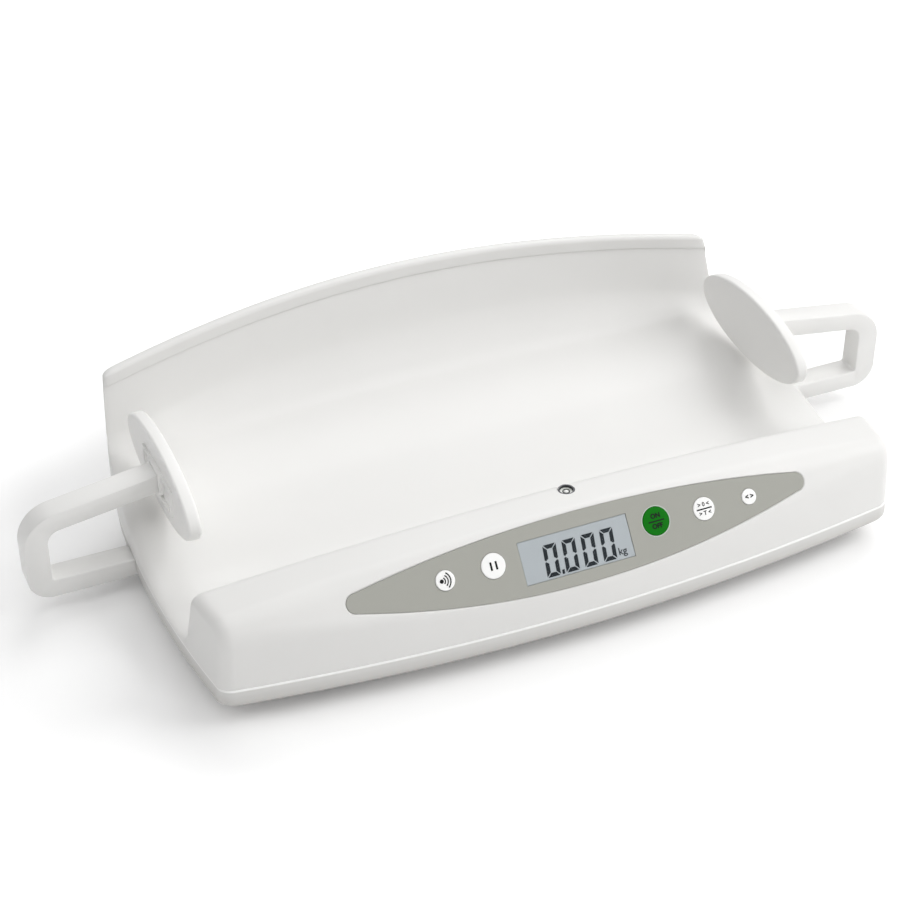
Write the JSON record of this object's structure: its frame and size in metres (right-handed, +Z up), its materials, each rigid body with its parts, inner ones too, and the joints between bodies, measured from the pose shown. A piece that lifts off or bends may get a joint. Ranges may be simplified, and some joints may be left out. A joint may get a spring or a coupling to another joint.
{
  "type": "digital baby weighing scale",
  "caption": "Electronic baby scale: a cradle tray with a raised back, a sloping key panel with display, and two sliding measuring stops.",
  "frame": {"origin": "centre of the object's box at the feet's lower faces", "axes": "+Z up, +X along the tray to the right of the person at the keys, -Y towards that person"},
  "size_m": [0.7904, 0.3821, 0.148],
  "materials": {
    "shell_white": "satin white ABS moulding",
    "slide_white": "satin white ABS moulding",
    "panel_grey": "fine matt warm grey film",
    "display_glass": "clear flat window",
    "display_grey": "reflective grey display",
    "key_white": "white key with a thin ring",
    "key_green": "strong green key",
    "board_green": "printed board",
    "black_plastic": "matt black",
    "steel": "bright steel",
    "dark_rubber": "matt rubber",
    "grey_plastic": "matt grey",
    "copper": "etched strip",
    "cell_skin": "printed sleeve",
    "level_fluid": "pale green fluid"
  },
  "bodies": {
    "housing": {"top_shell": "shell_white", "bottom_shell": "shell_white", "control_panel": "panel_grey", "display_window": "display_glass", "display_module": "display_grey", "main_board": "board_green", "buzzer": "black_plastic", "level_housing": "steel", "level_vial": "level_fluid", "left_arm_guide": "grey_plastic", "right_arm_guide": "grey_plastic", "left_reader_board": "board_green", "right_reader_board": "board_green", "battery_box": "black_plastic", "left_battery_contact": "steel", "right_battery_contact": "steel", "on_off_switch": "black_plastic", "zero_tare_switch": "black_plastic", "length_weight_switch": "black_plastic", "hold_switch": "black_plastic", "sound_switch": "black_plastic", "shell_screw_1": "steel", "shell_screw_2": "steel", "shell_screw_3": "steel", "shell_screw_4": "steel", "shell_screw_5": "steel", "shell_screw_6": "steel", "battery_cell_1": "cell_skin", "battery_cell_2": "cell_skin", "battery_cell_3": "cell_skin", "battery_cell_4": "cell_skin", "front_left_foot_cup": "grey_plastic", "front_right_foot_cup": "grey_plastic", "rear_left_foot_cup": "grey_plastic", "rear_right_foot_cup": "grey_plastic", "front_left_load_cell": "steel", "front_right_load_cell": "steel", "rear_left_load_cell": "steel", "rear_right_load_cell": "steel"},
    "left_slide": {"left_slide_arm": "slide_white", "left_stop_disc": "slide_white", "left_measuring_strip": "copper"},
    "right_slide": {"right_slide_arm": "slide_white", "right_stop_disc": "slide_white", "right_measuring_strip": "copper"},
    "battery_cover": {"battery_cover": "shell_white"},
    "on_off_key": {"on_off_key": "key_green"},
    "zero_tare_key": {"zero_tare_key": "key_white"},
    "length_weight_key": {"length_weight_key": "key_white"},
    "hold_key": {"hold_key": "key_white"},
    "sound_key": {"sound_key": "key_white"},
    "front_left_foot": {"front_left_foot": "dark_rubber"},
    "front_right_foot": {"front_right_foot": "dark_rubber"},
    "rear_left_foot": {"rear_left_foot": "dark_rubber"},
    "rear_right_foot": {"rear_right_foot": "dark_rubber"}
  },
  "joints": [
    {"name": "left_measure", "type": "slide", "parent": "housing", "child": "left_slide", "axis": [-1, 0, 0], "range_m": [-0.0625, 0.1355]},
    {"name": "right_measure", "type": "slide", "parent": "housing", "child": "right_slide", "axis": [1, 0, 0], "range_m": [-0.068, 0.13]},
    {"name": "battery_cover_slide", "type": "slide", "parent": "housing", "child": "battery_cover", "axis": [1, 0, 0], "range_m": [0, 0.1]},
    {"name": "on_off_press", "type": "slide", "parent": "housing", "child": "on_off_key", "axis": [0, 0.788, -0.6157], "range_m": [0, 0.0008], "stiffness_N_per_m": 1500, "springref_m": -0.0002},
    {"name": "zero_tare_press", "type": "slide", "parent": "housing", "child": "zero_tare_key", "axis": [0, 0.788, -0.6157], "range_m": [0, 0.0008], "stiffness_N_per_m": 1500, "springref_m": -0.0002},
    {"name": "length_weight_press", "type": "slide", "parent": "housing", "child": "length_weight_key", "axis": [0, 0.788, -0.6157], "range_m": [0, 0.0008], "stiffness_N_per_m": 1500, "springref_m": -0.0002},
    {"name": "hold_press", "type": "slide", "parent": "housing", "child": "hold_key", "axis": [0, 0.788, -0.6157], "range_m": [0, 0.0008], "stiffness_N_per_m": 1500, "springref_m": -0.0002},
    {"name": "sound_press", "type": "slide", "parent": "housing", "child": "sound_key", "axis": [0, 0.788, -0.6157], "range_m": [0, 0.0008], "stiffness_N_per_m": 1500, "springref_m": -0.0002},
    {"name": "front_left_foot_turn", "type": "hinge", "parent": "housing", "child": "front_left_foot", "pos_m": [-0.23775, -0.1238, 0], "axis": [0, 0, 1], "continuous": true},
    {"name": "front_right_foot_turn", "type": "hinge", "parent": "housing", "child": "front_right_foot", "pos_m": [0.23225, -0.1238, 0], "axis": [0, 0, 1], "continuous": true},
    {"name": "rear_left_foot_turn", "type": "hinge", "parent": "housing", "child": "rear_left_foot", "pos_m": [-0.23775, 0.0222, 0], "axis": [0, 0, 1], "continuous": true},
    {"name": "rear_right_foot_turn", "type": "hinge", "parent": "housing", "child": "rear_right_foot", "pos_m": [0.23225, 0.0222, 0], "axis": [0, 0, 1], "continuous": true}
  ]
}
